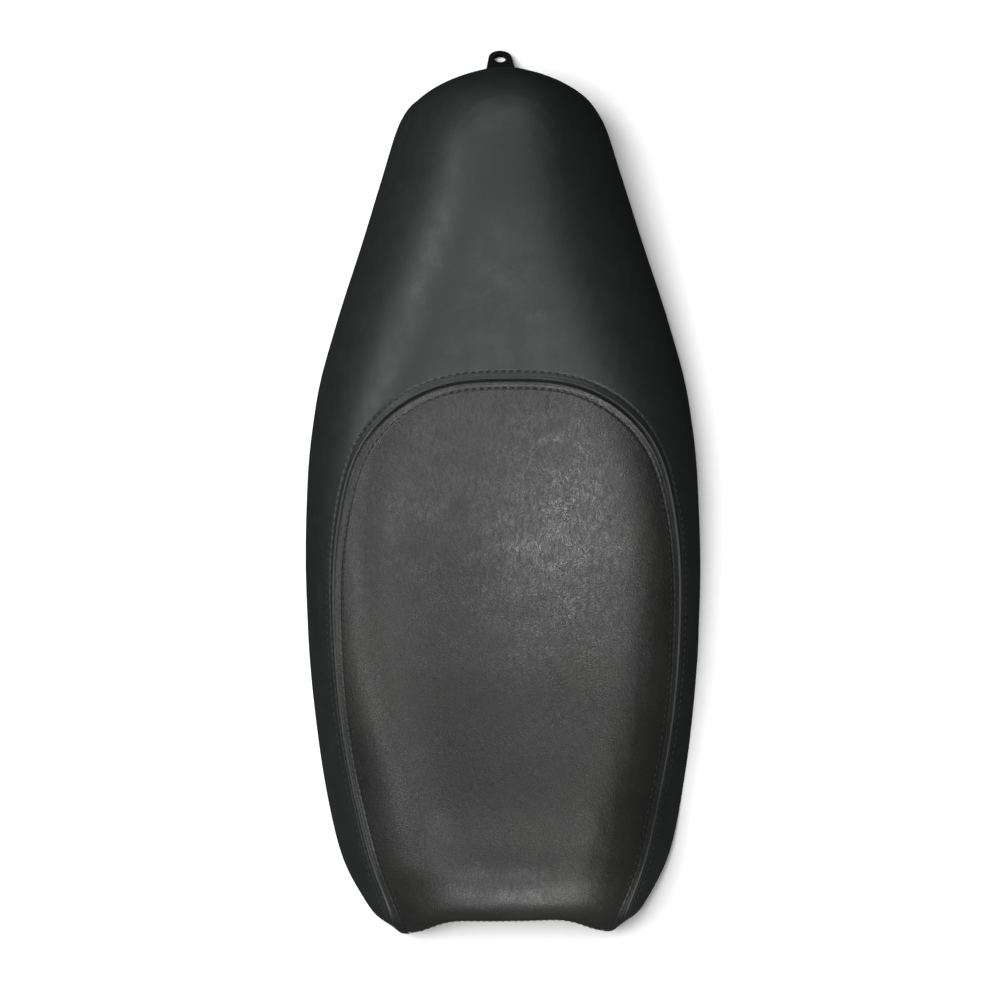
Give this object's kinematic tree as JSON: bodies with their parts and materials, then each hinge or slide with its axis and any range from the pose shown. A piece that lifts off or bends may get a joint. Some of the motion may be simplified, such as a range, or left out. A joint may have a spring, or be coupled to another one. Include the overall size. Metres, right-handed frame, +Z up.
{
  "type": "two-up motorcycle seat",
  "caption": "Long stepped motorcycle seat with a dished rider area set off by an arched double-stitched seam, a raised narrow passenger area and a steel fixing tab at its tail.",
  "frame": {"origin": "middle of the overall bounding box in plan, at the level of its lowest point", "axes": "+Y from the nose to the tail, +Z up, +X to the right of someone looking from the nose to the tail"},
  "size_m": [0.3176, 0.7055, 0.152],
  "materials": {
    "leather_rider": "fine pebbled grain with light creases, satin",
    "vinyl_skirt": "smooth matte coated fabric with a faint fine grain",
    "foam": "open-cell moulded polyurethane foam",
    "pan_plastic": "moulded polypropylene, lightly textured",
    "thread_black": "twisted bonded polyester thread",
    "thread_tan": "twisted bonded polyester thread",
    "black_steel": "gloss black enamel on pressed steel",
    "zinc_steel": "zinc plated steel",
    "rubber": "moulded black rubber, dull",
    "staple_wire": "galvanised wire"
  },
  "bodies": {
    "root": {"base_pan": "pan_plastic", "foam_core": "foam", "rider_panel": "leather_rider", "passenger_panel": "vinyl_skirt", "nose_flap": "vinyl_skirt", "cover_hem": "vinyl_skirt", "seam_thread_outer": "thread_black", "seam_thread_inner": "thread_black", "nose_thread": "thread_tan", "hem_staples": "staple_wire", "nose_edge_trim": "rubber", "rear_bracket": "black_steel", "rear_screws": "zinc_steel", "rear_washers": "zinc_steel", "front_tongue": "black_steel", "front_screws": "zinc_steel", "front_washers": "zinc_steel", "bumper_front_left": "rubber", "bumper_front_right": "rubber", "bumper_mid_left": "rubber", "bumper_mid_right": "rubber", "bumper_rear_left": "rubber", "bumper_rear_right": "rubber"}
  },
  "joints": []
}
